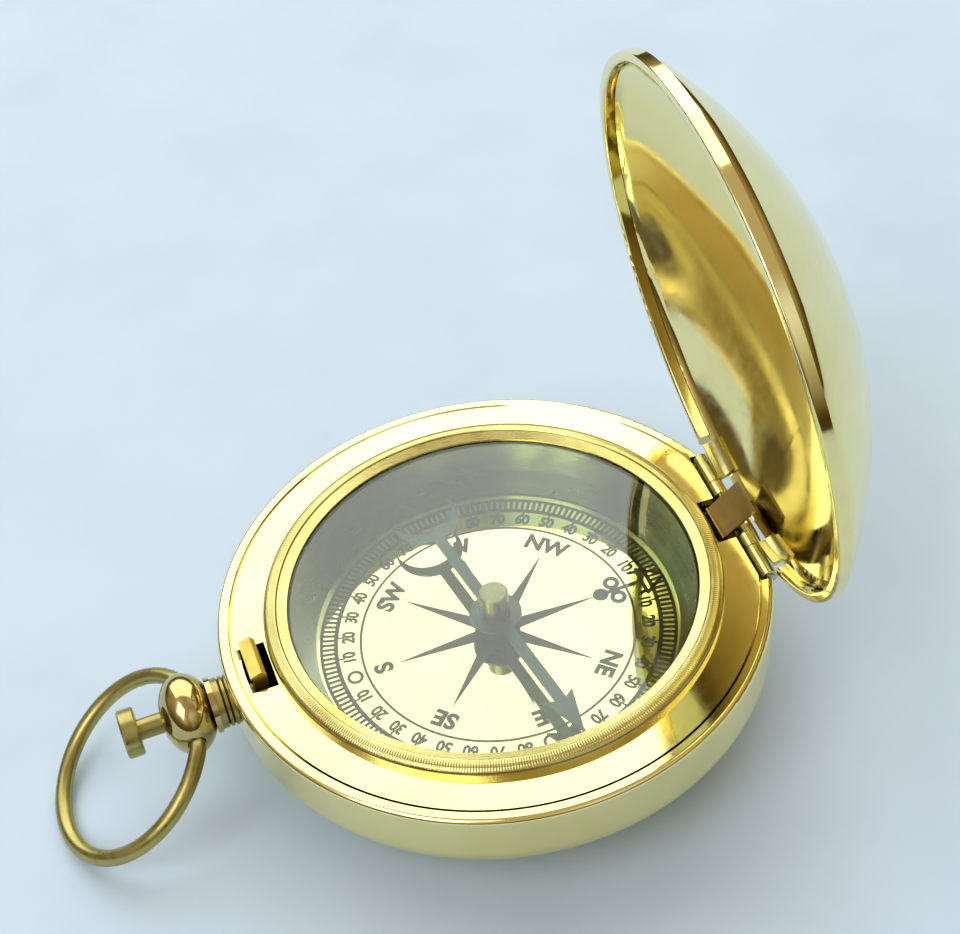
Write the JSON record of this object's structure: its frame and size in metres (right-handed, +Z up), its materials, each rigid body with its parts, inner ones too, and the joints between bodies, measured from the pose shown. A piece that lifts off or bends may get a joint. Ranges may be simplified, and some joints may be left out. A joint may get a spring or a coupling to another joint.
{
  "type": "pocket compass",
  "caption": "Brass hunter-case pocket compass with a sprung domed lid, push-button pendant, wire bow, dial and needle.",
  "frame": {"origin": "centre of the flat under the case, on the surface that the compass lies on", "axes": "+X towards the lid hinge and away from the pendant, +Y along the hinge axis, +Z up out of the dial"},
  "size_m": [0.0749, 0.05, 0.0597],
  "materials": {
    "polished_brass": "mirror-polished yellow brass, lacquered",
    "milled_brass": "finely milled brass edge over a polished inner slope",
    "well_brass": "satin turned brass",
    "dial_brass": "flat polished pale brass with dark filled markings",
    "crystal_glass": "clear flat crystal with a bevelled edge",
    "blued_steel": "thin blue-grey steel sheet",
    "cap_brass": "turned brass",
    "steel": "plain steel",
    "hinge_brass": "brushed drawn brass tube, slightly tarnished",
    "spring_bronze": "rolled phosphor bronze strip",
    "latch_brass": "filed brass block",
    "red_brass": "polished reddish gold brass",
    "aged_brass": "dull drawn brass wire and turned brass, tarnished"
  },
  "bodies": {
    "case": {"case_band": "polished_brass", "top_flange": "polished_brass", "back_cover": "polished_brass", "dial_bowl": "well_brass", "dial_plate": "dial_brass", "dial_washer": "well_brass", "dial_ring": "well_brass", "pivot_post": "steel", "crystal": "crystal_glass", "bezel": "milled_brass", "crystal_retainer": "milled_brass", "case_hinge": "hinge_brass", "hinge_pin": "steel", "lift_spring_root": "spring_bronze", "lift_rivet": "steel", "latch_anchor": "spring_bronze", "latch_rivets": "steel", "pendant_neck": "aged_brass", "pendant_collar": "red_brass", "pendant_ball": "red_brass"},
    "lid": {"lid_shell": "polished_brass", "lid_rim": "polished_brass", "lid_catch": "hinge_brass", "lid_hinge": "hinge_brass"},
    "needle": {"needle_plate": "blued_steel", "needle_cap": "cap_brass"},
    "button": {"button_stem": "aged_brass", "button_head": "aged_brass", "stem_collar": "aged_brass"},
    "latch": {"latch_arm": "spring_bronze", "latch_hook": "latch_brass"},
    "lift_leaf": {"lift_spring": "spring_bronze"},
    "bow": {"bow_ring": "aged_brass"}
  },
  "joints": [
    {"name": "lid_hinge", "type": "hinge", "parent": "case", "child": "lid", "pos_m": [0.02339, -0.00065, 0.01205], "axis": [-0.0279, -0.9996, 0], "range_deg": [0, 83.8], "stiffness_Nm_per_rad": 0.004, "springref_deg": -17.19},
    {"name": "lift_flex", "type": "hinge", "parent": "case", "child": "lift_leaf", "pos_m": [0.02159, -0.0006, 0.0118], "axis": [-0.0279, -0.9996, 0], "range_deg": [0, 66.5]},
    {"name": "button_press", "type": "slide", "parent": "case", "child": "button", "axis": [1, 0, 0], "range_m": [0, 0.0006], "stiffness_N_per_m": 800},
    {"name": "latch_flex", "type": "hinge", "parent": "case", "child": "latch", "pos_m": [-0.01268, 0.0181, 0.0099], "axis": [0, 0, 1], "range_deg": [0, 2.1]},
    {"name": "needle_spin", "type": "hinge", "parent": "case", "child": "needle", "pos_m": [0, 0, 0.0108], "axis": [0, 0, 1], "continuous": true},
    {"name": "bow_swing", "type": "hinge", "parent": "case", "child": "bow", "pos_m": [-0.02895, 0, 0.00942], "axis": [0, 1, 0], "range_deg": [-107, 165]}
  ],
  "couplings": [
    {"joint": "lift_flex", "follows": "lid_hinge", "ratio": 0.78},
    {"joint": "latch_flex", "follows": "button_press", "rad_per_m": 55.239}
  ]
}
